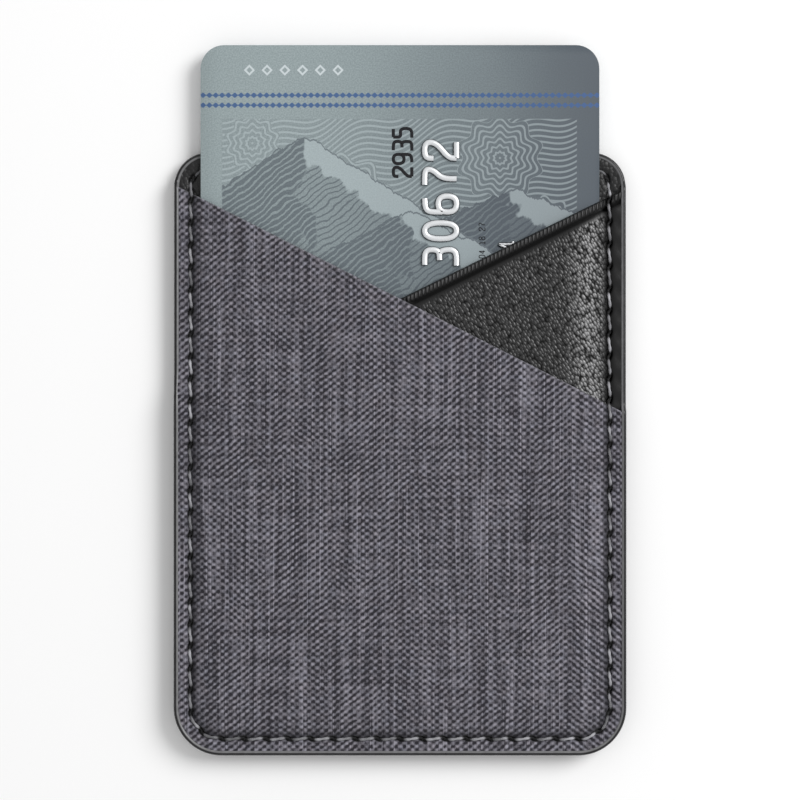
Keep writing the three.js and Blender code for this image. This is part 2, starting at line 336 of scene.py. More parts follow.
def swell(shape, x, y, inset):
    """Height of the soft swell of the raised middle."""
    across = 1.0 - (x / HALF_WIDTH) ** 2
    along = 1.0 - (y / HALF_HEIGHT) ** 2
    return shape.crown * np.clip(across * along, 0.0, 1.0) * ramp(inset, SWELL_START, SWELL_END)


def seam_pull(shape, seam, x, y, inset):
    """How far the seam pulls a surface down, and how much of a place is needle hole."""
    phase = seam_share(shape, seam, x, y) * stitch_count(shape, seam)
    along = (phase - np.round(phase)) * seam.stitch
    outward = seam.inset - inset
    hole_along = along / (seam.hole_length / 2)
    hole_across = (outward - HOLE_LEAN * along) / (seam.hole_width / 2)
    pierced = np.exp(-((hole_along ** 2 + hole_across ** 2) ** 1.5))
    pull = seam.groove * hump(outward, 0.0, VALLEY_WIDTH) * (0.7 + 0.5 * hump(along, 0.0, PINCH_LENGTH))
    for height, middle, width in PILLOWS:
        pull += height * np.cos(2 * math.pi * phase) * hump(outward, middle, width)
    return pull + seam.hole * pierced, pierced


def fold_shade(seam, inset):
    """Share of painted shade at a place in the fold between the seam and the raised middle."""
    return sum(strength * hump(inset - seam.inset, middle, width) for strength, middle, width in FOLD_SHADES)


def draped(shape, x, y):
    """Share of the leather's thickness that lifts the fabric, which comes down past the leather's end."""
    return ramp(leather_depth(shape, x, y), -shape.drape, 0.0)


def bare_back(shape, x, y, width):
    """1 where neither front panel covers the back, 0 where one does."""
    return ramp(-np.maximum(fabric_depth(shape, x, y), leather_depth(shape, x, y)), 0.0, width)


def edge_roundness(depth, radius):
    """Drop of a rounded edge at a depth behind it."""
    short = np.clip(radius - depth, 0.0, radius)
    return radius - np.sqrt(np.maximum(radius ** 2 - short ** 2, 0.0))


# Meshes, in millimetres
PANEL_INSET = 0.35
PLAN_SPACING, GRID_SPACING, GRID_ROWS = 0.27, 1.3, 0.87
PLAN_MARGIN, GRID_MARGIN = 0.12, 0.4
UNCUT = 99.0
OUTLINE_SAMPLES = 20001
NEAREST_WEIGHT = 0.01
SHARP_ANGLE = 40.0
THINNEST = 0.05


def new_piece(name, vertices, faces, material, replaced, smooth=SHARP_ANGLE):
    mesh = bpy.data.meshes.new(name)
    mesh.from_pydata([tuple(v) for v in np.asarray(vertices) * MM], [], faces)
    mesh.validate()
    piece = bpy.data.objects.new(name, mesh)
    bpy.context.scene.collection.objects.link(piece)
    mesh.materials.append(material)
    mesh.shade_smooth()
    mesh.set_sharp_from_angle(angle=math.radians(smooth))
    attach(piece, BODY)
    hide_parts(replaced)
    return piece


def add_mask(piece, name, values):
    """Share for every vertex that the piece's material reads under a name."""
    attribute = piece.data.attributes.new(name, "FLOAT", "POINT")
    attribute.data.foreach_set("value", np.asarray(values, dtype=np.float32))


def plan_triangles(border, inner):
    """Triangles that fill a border loop and use the inner points too."""
    points = np.concatenate([border, inner])
    count = len(border)
    edges = [(k, (k + 1) % count) for k in range(count)]
    found = delaunay_2d_cdt([Vector(p) for p in points], edges, [], 1, 1e-6)
    return np.array([tuple(v) for v in found[0]]), [tuple(face) for face in found[2]]


def slab(plan, triangles, top, bottom):
    """Closed sheet from a plan and its upper and lower heights."""
    count = len(plan)
    upper = np.column_stack([plan, top])
    lower = np.column_stack([plan, bottom])
    faces = list(triangles)
    faces += [tuple(count + k for k in reversed(face)) for face in triangles]
    used = {}
    for face in triangles:
        for a, b in zip(face, face[1:] + face[:1]):
            used[(a, b)] = used.get((a, b), 0) + 1
    faces += [(b, a, count + a, count + b) for a, b in used if (b, a) not in used]
    return np.concatenate([upper, lower]), faces


def ring_insets(shape, seam):
    """Insets of the rings that carry the rim, the seam and the shoulder."""
    near_seam = np.array([-1.3, -1.0, -0.75, -0.55, -0.4, -0.27, -0.15, 0.0, 0.15, 0.27, 0.4])
    steep_end = shape.rim + shape.shoulder + 0.4
    soft_end = shape.rim + shape.soft_shoulder + 0.3
    steep = np.linspace(shape.rim + 0.2, steep_end, 8)
    soft = np.linspace(steep_end + 0.5, soft_end, 5)
    insets = np.concatenate([seam.inset + near_seam, steep, soft])
    return insets[insets > PANEL_INSET + 0.1]


def panel_plan(shape, seam, depth=None, edge_lines=(), middle=GRID_SPACING):
    """Plan mesh of a panel inside the outline, cut off along a slanting edge where one is given."""
    keep = depth if depth else (lambda x, y: np.full(np.shape(x), UNCUT))
    count = int(outline_length(shape, 0.0) / PLAN_SPACING)
    shares = np.arange(count) / count
    border, _ = outline_points(shape, PANEL_INSET, shares)
    inside = keep(*border.T) > 0.02
    inner = []
    if not inside.all():
        first = next(k for k in range(count) if inside[k] and not inside[k - 1])
        border = np.roll(border, -first, axis=0)[np.roll(inside, -first)]
        start, end = (cut_point(shape, keep, near) for near in (border[-1], border[0]))
        border = np.concatenate([border, between(start, end)])
        down = edge_normal(keep)
        for line in edge_lines:
            moved = between(start + down * line, end + down * line)
            inner.append(moved[inset_of(shape, *moved.T) > PANEL_INSET + PLAN_MARGIN])
    rings = ring_insets(shape, seam)
    for ring in rings:
        points, _ = outline_points(shape, ring, shares)
        inner.append(points[keep(*points.T) > PLAN_MARGIN])
    steps_x = np.arange(-HALF_WIDTH, HALF_WIDTH, middle)
    steps_y = np.arange(-HALF_HEIGHT, HALF_HEIGHT, middle * GRID_ROWS)
    grid = np.array([(x + (row % 2) * middle / 2, y) for row, y in enumerate(steps_y) for x in steps_x])
    deep = inset_of(shape, *grid.T) > rings[-1] + GRID_MARGIN
    below = keep(*grid.T) > max(edge_lines, default=0.0) + GRID_MARGIN
    inner.append(grid[deep & below])
    return plan_triangles(border, np.concatenate(inner))


def edge_normal(depth):
    """Direction straight down from a slanting edge."""
    return np.array([depth(1.0, 0.0) - depth(0.0, 0.0), depth(0.0, 1.0) - depth(0.0, 0.0)])


def cut_point(shape, depth, near):
    """Place where the panels' outline meets a slanting edge, close to a given point."""
    points, _ = outline_points(shape, PANEL_INSET, np.linspace(0.0, 1.0, OUTLINE_SAMPLES))
    off = np.abs(depth(*points.T)) + NEAREST_WEIGHT * np.hypot(*(points - near).T)
    return points[off.argmin()]


def between(start, end):
    """Evenly spaced points from one place to another."""
    steps = max(int(np.hypot(*(end - start)) / PLAN_SPACING), 2)
    return start + np.linspace(0.0, 1.0, steps + 1)[:, None] * (end - start)


# Nodes of a material

class Value:
    """Output of a node, which adds, subtracts and multiplies as a number does."""

    def __init__(self, finish, socket):
        self.finish = finish
        self.socket = socket

    def __add__(self, other):
        return self.finish.math("ADD", self, other)

    def __radd__(self, other):
        return self.finish.math("ADD", other, self)

    def __sub__(self, other):
        return self.finish.math("SUBTRACT", self, other)

    def __rsub__(self, other):
        return self.finish.math("SUBTRACT", other, self)

    def __mul__(self, other):
        return self.finish.math("MULTIPLY", self, other)

    def __abs__(self):
        return self.finish.math("ABSOLUTE", self)


class Finish:
    """A material under construction: its methods add nodes and give back their output."""

    def __init__(self, name, roughness=0.5, specular=0.5, metallic=0.0, sheen=0.0):
        self.material = bpy.data.materials.new(name)
        self.material.use_nodes = True
        self.tree = self.material.node_tree
        self.shader = self.tree.nodes["Principled BSDF"]
        self.shader.inputs["Roughness"].default_value = roughness
        self.shader.inputs["Specular IOR Level"].default_value = specular
        self.shader.inputs["Metallic"].default_value = metallic
        self.shader.inputs["Sheen Weight"].default_value = sheen
        split = self.add("ShaderNodeSeparateXYZ")
        self.tree.links.new(self.add("ShaderNodeTexCoord").outputs["Object"], split.inputs[0])
        self.x, self.y, self.z = (Value(self, axis) * (1.0 / MM) for axis in split.outputs)

    def add(self, kind, **settings):
        node = self.tree.nodes.new(kind)
        for key, value in settings.items():
            setattr(node, key, value)
        return node

    def link(self, source, socket):
        if isinstance(source, Value):
            self.tree.links.new(source.socket, socket)
        else:
            socket.default_value = source

    def math(self, operation, first, second=0.0):
        node = self.add("ShaderNodeMath", operation=operation)
        self.link(first, node.inputs[0])
        self.link(second, node.inputs[1])
        return Value(self, node.outputs[0])

    def larger(self, first, second):
        return self.math("MAXIMUM", first, second)

    def wave(self, angle):
        return self.math("COSINE", angle)

    def step(self, value, start, end):
        """0 below the start, 1 above the end, smooth between."""
        node = self.add("ShaderNodeMapRange", interpolation_type="SMOOTHSTEP")
        for socket, given in zip(node.inputs, (value, start, end, 0.0, 1.0)):
            self.link(given, socket)
        return Value(self, node.outputs[0])

    def spot(self, x=0.0, y=0.0, z=0.0):
        node = self.add("ShaderNodeCombineXYZ")
        for socket, value in zip(node.inputs, (x, y, z)):
            self.link(value, socket)
        return Value(self, node.outputs[0])

    def noise(self, where, scale=1.0, detail=2.0, roughness=0.5):
        node = self.add("ShaderNodeTexNoise")
        self.link(where, node.inputs["Vector"])
        node.inputs["Scale"].default_value = scale
        node.inputs["Detail"].default_value = detail
        node.inputs["Roughness"].default_value = roughness
        return Value(self, node.outputs["Fac"])

    def speckle(self, where):
        node = self.add("ShaderNodeTexWhiteNoise", noise_dimensions="3D")
        self.link(where, node.inputs["Vector"])
        return Value(self, node.outputs["Value"])

    def cells(self, where, scale, randomness=1.0):
        """Distance from the middle of the nearest cell."""
        node = self.add("ShaderNodeTexVoronoi")
        self.link(where, node.inputs["Vector"])
        node.inputs["Scale"].default_value = scale
        node.inputs["Randomness"].default_value = randomness
        return Value(self, node.outputs["Distance"])

    def mask(self, name):
        return Value(self, self.add("ShaderNodeAttribute", attribute_name=name).outputs["Fac"])

    def blend(self, share, first, second, kind="MIX"):
        node = self.add("ShaderNodeMix", data_type="RGBA", blend_type=kind)
        for socket, value in ((0, share), (6, first), (7, second)):
            self.link(value, node.inputs[socket])
        return Value(self, node.outputs[2])

    def bump(self, height, depth, strength=1.0, normal=None):
        """Normal of a relief whose depth is in millimetres."""
        node = self.add("ShaderNodeBump")
        node.inputs["Strength"].default_value = strength
        node.inputs["Distance"].default_value = depth * MM
        self.link(height, node.inputs["Height"])
        if normal:
            self.link(normal, node.inputs["Normal"])
        return Value(self, node.outputs["Normal"])

    def set(self, socket, value):
        self.link(value, self.shader.inputs[socket])


def shade(tone, factor):
    """A colour made darker or lighter."""
    return tuple(factor * part for part in tone[:3]) + (1.0,)


# Weave of the fabric: distances in millimetres, colours, among them a painted highlight and painted shades,
# and the end of the soft border of a needle hole's painted shade
WARP_PITCH, WEFT_PITCH = 0.556, 0.45
YARN_WANDER = 0.45
MIRRORED_FROM, MIRRORED_TO = 22.4, 23.4
COOL_TINT, WARM_TINT = (0.95, 0.98, 1.05, 1.0), (1.05, 0.98, 0.98, 1.0)
# Painted highlight along the fabric's cut edge
PAINTED_CUT_HIGHLIGHT = (0.2, 0.2, 0.215, 1.0)
# Painted shade for the fold beside the seam
PAINTED_FOLD_SHADE = (0.006, 0.006, 0.009, 1.0)
# Painted shade: near-black for the needle holes, and on the leather also for its fold, crease and grain
# hollows
PAINTED_SHADE_BLACK = (0.001, 0.001, 0.001, 1.0)
HOLE_BORDER = (0.12, 0.5)


def fabric_finish(colours):
    """Grey melange weave: light floats of yarn in a diamond lattice over dark yarn."""
    f = Finish("melange_fabric", roughness=0.85, specular=0.2, sheen=0.1)
    drift_x = (f.noise(f.spot(f.x, f.y * 0.35), 0.45) - 0.5) * YARN_WANDER
    drift_y = (f.noise(f.spot(f.x * 0.35, f.y, 7.0), 0.45) - 0.5) * YARN_WANDER
    warp = (f.x + drift_x) * (1.0 / WARP_PITCH)
    weft = (f.y + drift_y) * (1.0 / WEFT_PITCH)
    rising = f.wave((warp - weft) * math.pi)
    falling = f.wave((warp + weft) * math.pi)
    patch = f.noise(f.spot(f.x, f.y * 0.5, 3.0), 0.2, 1.0)
    mirrored = f.step(f.x, MIRRORED_FROM, MIRRORED_TO)
    falling_share = 0.3 + f.step(patch, 0.35, 0.65) * 0.2 + mirrored * 0.22
    weave = rising * (1.0 - falling_share) + falling * falling_share
    float_tone = f.speckle(f.spot(f.math("ROUND", warp), f.math("ROUND", weft), 3.0))
    warp_streak = f.noise(f.spot(f.x * 1.9, f.y * 0.05, 11.0))
    weft_streak = f.noise(f.spot(f.x * 0.09, f.y * 1.9, 17.0))
    slub = f.step(f.noise(f.spot(f.x * 3.6, f.y * 0.035, 23.0), 1.0, 1.0), 0.6, 0.7)
    fibres = f.noise(f.spot(f.x * 2.6, f.y * 1.7, f.z), 1.6, 3.0, 0.75)
    broken_slub = slub * (weave * 0.5 + 0.5)
    drift = warp_streak + weft_streak * 0.7 + broken_slub * 0.75 + fibres * 1.15 - 1.49
    swing = weave * (float_tone * 0.5 + 0.23)
    tone = f.larger(swing + 0.34 + drift, 0.0)
    cloth = f.blend(f.math("MINIMUM", tone, 1.0), colours.yarn_dark, colours.yarn_light)
    tint = f.blend(f.noise(f.spot(f.x, f.y, 5.0), 0.9, 1.0), COOL_TINT, WARM_TINT)
    cloth = f.blend(1.0, cloth, tint, "MULTIPLY")
    # Painted highlight: a pale band along the fabric's cut top edge
    cloth = f.blend(f.mask("cut") * (fibres * 0.5 + 0.05), cloth, PAINTED_CUT_HIGHLIGHT)
    # Painted shade: the fold beside the seam darkened towards near-black
    cloth = f.blend(f.mask("fold") * 0.85, cloth, PAINTED_FOLD_SHADE)
    # Painted shade: the needle holes filled with near-black
    cloth = f.blend(f.step(f.mask("pierced"), *HOLE_BORDER), cloth, PAINTED_SHADE_BLACK)
    f.set("Base Color", cloth)
    f.set("Normal", f.bump(weave * 0.5 + fibres * 0.8 + float_tone * 0.3, 0.1))
    return f.material


# Leather: directions in degrees, the ribs' pitch in millimetres, and colours, one of them a painted highlight
GRAIN_TURN, RIB_TURN = -58.0, 26.1
GRAIN_LONG, GRAIN_SHORT = 0.82, 1.4
RIB_PITCH = 0.57
# Painted highlight on the bare leather's right shoulder
PAINTED_HIGHLIGHT_TONE = (0.21, 0.21, 0.213, 1.0)
RIB_TONE = (0.09, 0.09, 0.092, 1.0)


def turned(f, degrees):
    """Distances along a direction and across it."""
    turn = math.radians(degrees)
    along = f.x * math.cos(turn) + f.y * math.sin(turn)
    across = f.x * -math.sin(turn) + f.y * math.cos(turn)
    return along, across


def leather_finish(colours):
    """Black leather with slanting pebble grain, pressed smooth by the folded edge and ribbed on it, with
    painted shade in its fold, crease, grain hollows and needle holes and a painted highlight on its right
    shoulder.
    """
    f = Finish("grained_leather")
    along, across = turned(f, GRAIN_TURN)
    wander = (f.noise(f.spot(f.x, f.y, 4.0), 0.3, 1.0) - 0.5) * 0.6
    pebble = f.cells(f.spot((along + wander) * GRAIN_LONG, (across + wander) * GRAIN_SHORT), 1.95, 0.66)
    fine = f.noise(f.spot(f.x, f.y, 9.0), 3.5, 3.0, 0.6)
    grained = f.mask("grained")
    domed = (1.0 - pebble * pebble * 1.5) * grained
    # Painted shade in the grain's hollows
    cavity = f.step(pebble + fine * 0.16, 0.5, 0.95) * grained
    edgewise, outward = turned(f, RIB_TURN)
    ribs = f.mask("ribbed") * f.wave((edgewise + outward * -0.4) * (2 * math.pi / RIB_PITCH))
    rib_patchiness = f.noise(f.spot(f.x, f.y, 6.0), 0.7) + 0.15
    tone = f.blend(f.step(domed, 0.55, 0.95) * 0.9, colours.leather, colours.leather_worn)
    # Painted highlight: the grain's domes paler on the right shoulder
    painted_highlight = f.mask("painted_highlight") * f.step(domed, 0.3, 0.95) * (fine * 0.9 + 0.35)
    tone = f.blend(painted_highlight, tone, PAINTED_HIGHLIGHT_TONE)
    # The ribs are coloured paler along their tops, in patches
    tone = f.blend(f.step(ribs * (fine + 0.5), 0.2, 1.0) * rib_patchiness, tone, RIB_TONE)
    # Painted shade: the fold, the crease under the folded edge, the grain's hollows and the needle holes go
    # near-black, with their reflection turned down
    shaded = f.larger(f.mask("fold") * 0.8, f.step(f.mask("pierced"), *HOLE_BORDER))
    dark = f.larger(cavity * 0.8, shaded)
    pressed = 1.0 - grained
    f.set("Base Color", f.blend(dark, tone, PAINTED_SHADE_BLACK))
    f.set("Specular IOR Level", (1.0 - dark) * (0.7 - pressed * 0.32))
    f.set("Roughness", fine * 0.14 + 0.27 + pressed * 0.1 + dark * 0.3)
    coarse = f.bump(domed * 0.45 + ribs * 0.35, 0.2)
    f.set("Normal", f.bump(fine, 0.035, 0.6, coarse))
    return f.material


def smooth_leather_finish(colours):
    """Black leather with a shallow grain."""
    f = Finish("smooth_leather", specular=0.45)
    fine = f.noise(f.spot(f.x, f.y, 2.0), 2.2, 4.0, 0.65)
    pebble = f.cells(f.spot(f.x, f.y), 1.8, 0.8)
    tone = f.blend(fine, colours.leather, colours.leather_worn)
    # Painted shade: the needle holes filled with near-black
    f.set("Base Color", f.blend(f.step(f.mask("pierced"), 0.15, 0.6), tone, (0.002, 0.002, 0.002, 1.0)))
    f.set("Roughness", fine * 0.25 + 0.34)
    f.set("Normal", f.bump(fine, 0.04, 0.6, f.bump(1.0 - pebble * pebble, 0.14)))
    return f.material


def thread_finish(colours):
    """Spun thread, soiled in places, with painted shade where it dips into a needle hole."""
    f = Finish("sewing_thread", roughness=0.6, specular=0.35, sheen=0.2)
    fuzz = f.noise(f.spot(f.x, f.y, f.z), 9.0, 3.0, 0.7)
    soiled = f.noise(f.spot(f.x, f.y, 3.0), 0.45, 1.0)
    clean = f.step(fuzz * 0.5 + soiled * 0.9, 0.5, 0.95)
    spun = f.blend(clean, shade(colours.thread, 0.28), colours.thread)
    # Painted shade: the thread goes near-black where it dips into a needle hole
    f.set("Base Color", f.blend(f.step(f.mask("dip_shade"), 0.15, 0.75), spun, (0.002, 0.002, 0.003, 1.0)))
    f.set("Normal", f.bump(fuzz, 0.03, 0.6))
    return f.material


def paint_finish(colours):
    """Satin black paint, with a painted highlight along the top of the bead."""
    f = Finish("edge_paint", specular=0.4)
    streak = f.noise(f.spot(f.x, f.y, f.z * 3.0), 1.4, 3.0, 0.6)
    painted = f.blend(f.step(streak, 0.4, 0.7), colours.paint, shade(colours.paint, 2.5))
    # Painted highlight: a pale band along the top of the bead
    painted_highlight = f.mask("crest_highlight") * (streak * 0.6 + 0.45)
    f.set("Base Color", f.blend(painted_highlight, painted, (0.22, 0.22, 0.225, 1.0)))
    f.set("Roughness", streak * 0.2 + 0.22)
    f.set("Normal", f.bump(streak, 0.05, 0.5))
    return f.material


def paper_finish(colours):
    """Release paper with slanting lines."""
    f = Finish("release_paper", specular=0.4)
    fibre = f.noise(f.spot(f.x, f.y, f.z), 1.3, 5.0, 0.7)
    line = abs(f.math("FRACT", (f.x + f.y) * 0.11) - 0.5)
    pale = shade(colours.liner, 0.86)
    sheet = f.blend(f.step(fibre, 0.3, 0.7), colours.liner, pale)
    f.set("Base Color", f.blend(1.0 - f.step(line, 0.0, 0.03), sheet, pale))
    f.set("Roughness", fibre * 0.25 + 0.4)
    f.set("Normal", f.bump(fibre, 0.02, 0.5))
    return f.material


def foam_finish(colours):
    """Adhesive foam with fine pores."""
    f = Finish("adhesive_foam", specular=0.3)
    pores = f.cells(f.spot(f.x, f.y, f.z), 5.0)
    f.set("Base Color", f.blend(f.step(pores, 0.1, 0.6), shade(colours.pad, 0.75), colours.pad))
    f.set("Roughness", pores * 0.3 + 0.55)
    f.set("Normal", f.bump(pores, 0.04, 0.6))
    return f.material


# The card's print, in millimetres
PRINT_LEFT, PRINT_RIGHT, PRINT_TOP, PRINT_BORDER = -24.2, 24.0, 45.4, 0.2
STRIPES = (48.5, 47.15)
STRIPE_WIDTH, STRIPE_BEAD = 0.62, 0.86
BAND_LEFT, BAND_RIGHT, BAND_BORDER = 10.3, 23.0, 0.1
HATCH_PITCH, RING_PITCH, SHADE_PITCH = 0.78, 0.8, 0.68
LOZENGE_PITCH, LOZENGE_HEIGHT = 2.4, 51.9
LOZENGES_LEFT, LOZENGES_RIGHT = -21.6, -7.2

# Each peak: the place of its top, its slope, and the seed of its crags; each rosette: its middle and radius
PEAKS = ((15.5, 36.0, 0.42, 31.0), (-13.0, 43.2, 0.62, 12.0), (1.5, 33.0, 0.5, 57.0))
ROSETTES = ((13.5, 40.0, 5.6), (-8.0, 33.5, 6.8), (19.5, 30.5, 4.2), (-20.0, 42.0, 3.6))

# Colours of the print and of the card's back
SPECK_TONE = (0.05, 0.06, 0.07, 1.0)
PALE_PRINT, DEEP_PRINT = (0.52, 0.6, 0.62, 1.0), (0.035, 0.045, 0.065, 1.0)
LOZENGE_TONE = (0.62, 0.68, 0.7, 1.0)
BACK_TONE, BAND_TONE = (0.3, 0.33, 0.35, 1.0), (0.015, 0.014, 0.014, 1.0)


def card_finish(colours):
    """Satin silver-blue card with two beaded pinstripes and a fine-line engraving of peaks and rosettes."""
    f = Finish("card_print", specular=0.3)
    grain = f.noise(f.spot(f.x, f.y, 1.0), 5.0, 3.0, 0.7)
    cloud = f.noise(f.spot(f.x, f.y, 2.0), 0.06)
    across = f.step(f.x + f.y * -0.12 + cloud * 8.0, -22.0, 34.0)
    ground = f.blend(across, colours.card_light, colours.card_dark)
    ground = f.blend(f.step(grain, 0.35, 0.65), f.blend(0.3, ground, SPECK_TONE), ground)
    in_print = f.step(f.x, PRINT_LEFT, PRINT_LEFT + PRINT_BORDER)
    in_print *= f.step(f.x, PRINT_RIGHT, PRINT_RIGHT - PRINT_BORDER)
    in_print *= f.step(f.y, PRINT_TOP, PRINT_TOP - PRINT_BORDER)
    engraving = engraved_lines(f) * in_print
    pale = f.blend(0.5, ground, PALE_PRINT)
    deep = f.blend(0.72, ground, DEEP_PRINT)
    face = f.blend(engraving * 0.6, f.blend(in_print * 0.2, ground, deep), pale)
    relief = engraving
    for top_x, top_y, slope, seed in PEAKS:
        inside, hatching, snow = peak(f, top_x, top_y, slope, seed)
        inside *= in_print
        face = f.blend(inside, face, f.blend(snow * 0.7, f.blend(0.22, ground, deep), pale))
        face = f.blend(hatching * inside * 0.8, face, deep)
        relief = f.blend(inside, relief, hatching * -0.6)
    lozenges = lozenge_row(f) * 0.8
    face = f.blend(lozenges, face, LOZENGE_TONE)
    for height in STRIPES:
        half_width = f.wave(f.x * (2 * math.pi / STRIPE_BEAD)) * 0.14 + (STRIPE_WIDTH / 2 - 0.1)
        inside = f.step(half_width - abs(f.y - height), -0.06, 0.06)
        face = f.blend(inside * 0.85, face, colours.stripe)
    top, foot = CARD_HIGH.z / MM, CARD_LOW.z / MM
    band = f.step(f.x, BAND_LEFT, BAND_LEFT + BAND_BORDER) * f.step(f.x, BAND_RIGHT, BAND_RIGHT - BAND_BORDER)
    plain = f.blend(f.step(f.z, foot + 0.1, foot + 0.04) * band, BACK_TONE, BAND_TONE)
    f.set("Base Color", f.blend(f.step(f.z, top - 0.12, top - 0.06), plain, face))
    f.set("Roughness", grain * 0.14 + 0.36)
    f.set("Normal", f.bump(relief * 0.8 + grain * 0.25 + lozenges, 0.04, 0.6))
    return f.material


def line_set(f, field, pitch):
    """Thin lines where a field, in millimetres, passes multiples of a pitch."""
    return f.step(f.wave(field * (2 * math.pi / pitch)), 0.0, 0.75)


def engraved_lines(f):
    """Rosettes over wavy hatching."""
    ripple = f.wave(f.x * 0.55) * 0.9
    lines = line_set(f, f.x * -0.35 + f.y + ripple, HATCH_PITCH)
    for x, y, size in ROSETTES:
        off_x, off_y = f.x - x, f.y - y
        away = f.math("SQRT", off_x * off_x + off_y * off_y)
        turn = f.math("ARCTAN2", off_y, off_x)
        away += f.wave(turn * 10.0) * (away * 0.09)
        rosette = line_set(f, away, RING_PITCH)
        inside = f.step(away, size, size - 0.15)
        lines = lines * (1.0 - inside) + rosette * inside
    return lines


def peak(f, top_x, top_y, slope, seed):
    """One engraved mountain: where it is, its hatching, and its snow."""
    off = f.x - top_x
    crag = f.noise(f.spot(f.x, seed), 0.5, 4.0, 0.6)
    skyline = abs(off) * -slope + top_y + crag * 3.0 - 1.5
    below = skyline - f.y
    face = f.noise(f.spot(f.x, f.y * 0.7, seed), 0.28, 3.0)
    shaded = f.step(off + face * 15.0 - 7.0, 0.5, -0.5)
    lit = 1.0 - shaded
    hatch = f.wave((f.y * 0.75 + off * -0.55 + face * 2.0) * (2 * math.pi / SHADE_PITCH))
    thick = f.step(hatch, -0.75, -0.25) * shaded
    thin = f.step(hatch, 0.45, 0.85) * lit
    snow = f.step(below + face * 5.0, 6.5, 6.0) * lit
    hatching = f.larger(f.larger(thick, thin) * (1.0 - snow), f.step(below, 0.34, 0.22))
    return f.step(below, 0.0, 0.12), hatching, snow


def lozenge_row(f):
    """Six small lozenges in the plain band at the top."""
    off_x = abs(f.math("FRACT", f.x * (1 / LOZENGE_PITCH)) - 0.5) * LOZENGE_PITCH
    off = off_x + abs(f.y - LOZENGE_HEIGHT)
    outline = f.step(off, 0.8, 0.72) * f.step(off, 0.36, 0.44)
    in_row = f.step(f.x, LOZENGES_LEFT, LOZENGES_LEFT + 0.02)
    in_row *= f.step(f.x, LOZENGES_RIGHT, LOZENGES_RIGHT - 0.02)
    return outline * in_row


def silver_finish(colours):
    """Silver tipping on flanks in the card's dark tone, halved as painted shade."""
    f = Finish("raised_silver", metallic=0.6)
    wear = f.noise(f.spot(f.x, f.y, f.z), 3.0, 3.0, 0.6)
    face = CARD_HIGH.z / MM
    tipped = f.step(f.z + wear * 0.12, face + 0.26, face + 0.36)
    # Painted shade: the flanks below the tipping take half the card's dark tone
    f.set("Base Color", f.blend(tipped, shade(colours.card_dark, 0.5), colours.tipping))
    f.set("Roughness", wear * 0.2 + 0.26)
    f.set("Normal", f.bump(wear, 0.02, 0.5))
    return f.material


def ink_finish():
    """Matt black ink."""
    f = Finish("black_ink", roughness=0.6, specular=0.2)
    wear = f.noise(f.spot(f.x, f.y, f.z), 4.0, 3.0, 0.6)
    f.set("Base Color", f.blend(wear, (0.004, 0.004, 0.005, 1.0), (0.02, 0.02, 0.024, 1.0)))
    return f.material


# Operators, one for each piece or group of like pieces

def measures(group):
    """A group's values, its lengths in millimetres."""
    found = {}
    for key, entry in group.bl_rna.properties.items():
        if entry.type == "FLOAT":
            value = getattr(group, key)
            found[key] = value / MM if entry.unit == "LENGTH" else value
    return SimpleNamespace(**found)


def settings(context):
    scene = context.scene
    return measures(scene.holder_shape), measures(scene.holder_seam), scene.holder_colours


# The fabric's cut edge, in millimetres: lines of the mesh along it, its rounding, and the width of its
# painted highlight
CUT_LINES = (0.05, 0.12, 0.22, 0.4, 0.7)
CUT_ROUNDING, CUT_WIDTH = 0.2, 0.16


class CARDHOLDER_OT_fabric_panel(bpy.types.Operator):
    """Woven front panel that slants down to the right"""
    bl_idname = "cardholder.fabric_panel"
    bl_label = "Fabric panel"

    def execute(self, context):
        shape, seam, colours = settings(context)
        plan, triangles = panel_plan(shape, seam, partial(fabric_depth, shape), CUT_LINES)
        x, y = plan.T
        inset = inset_of(shape, x, y)
        depth = fabric_depth(shape, x, y)
        base = BACK_TOP + shape.leather * draped(shape, x, y)
        bottom = base + shoulder_rise(shape, inset, 1)
        pull, pierced = seam_pull(shape, seam, x, y, inset)
        top = base + shape.fabric + shoulder_rise(shape, inset, 2) + swell(shape, x, y, inset) - pull
        top = np.maximum(top - edge_roundness(depth, CUT_ROUNDING), bottom + THINNEST)
        vertices, faces = slab(plan, triangles, top, bottom)
        finish = fabric_finish(colours)
        piece = new_piece("fabric_panel_cloth", vertices, faces, finish, "fabric_panel")
        # The pierced mask marks where needle holes get painted shade
        add_mask(piece, "pierced", np.tile(pierced, 2))
        # The fold mask holds the share of painted shade in the fold
        add_mask(piece, "fold", np.tile(fold_shade(seam, inset), 2))
        # The cut mask holds the painted highlight along the cut edge
        add_mask(piece, "cut", np.tile(hump(depth, 0.0, CUT_WIDTH), 2))
        return {"FINISHED"}


# The leather's folded edge and its shoulder, in millimetres
FOLD_LINES = (0.04, 0.1, 0.18, 0.3, 0.45, 0.6, 0.75, 0.88, 1.0, 1.12, 1.24, 1.36, 1.5, 1.65, 1.85, 2.1, 2.5)
RIDGE_RISE, RIDGE_MIDDLE, RIDGE_WIDTH = 0.12, 0.5, 0.42
CREASE_FALL, CREASE_MIDDLE, CREASE_WIDTH = 0.26, 1.3, 0.26
FOLD_ROUNDING = 0.35
LEAST_LEATHER = 0.22
BARE_BORDER = 0.4
GRAIN_BELOW_FOLD, GRAIN_FROM_EDGE = (1.7, 2.3), (1.9, 2.4)
# Painted highlight on the right shoulder: its middle and width as an inset, and the span of x over which it
# comes in
HIGHLIGHT_MIDDLE, HIGHLIGHT_WIDTH = 5.2, 1.7
HIGHLIGHT_SIDE = (12.0, 22.0)


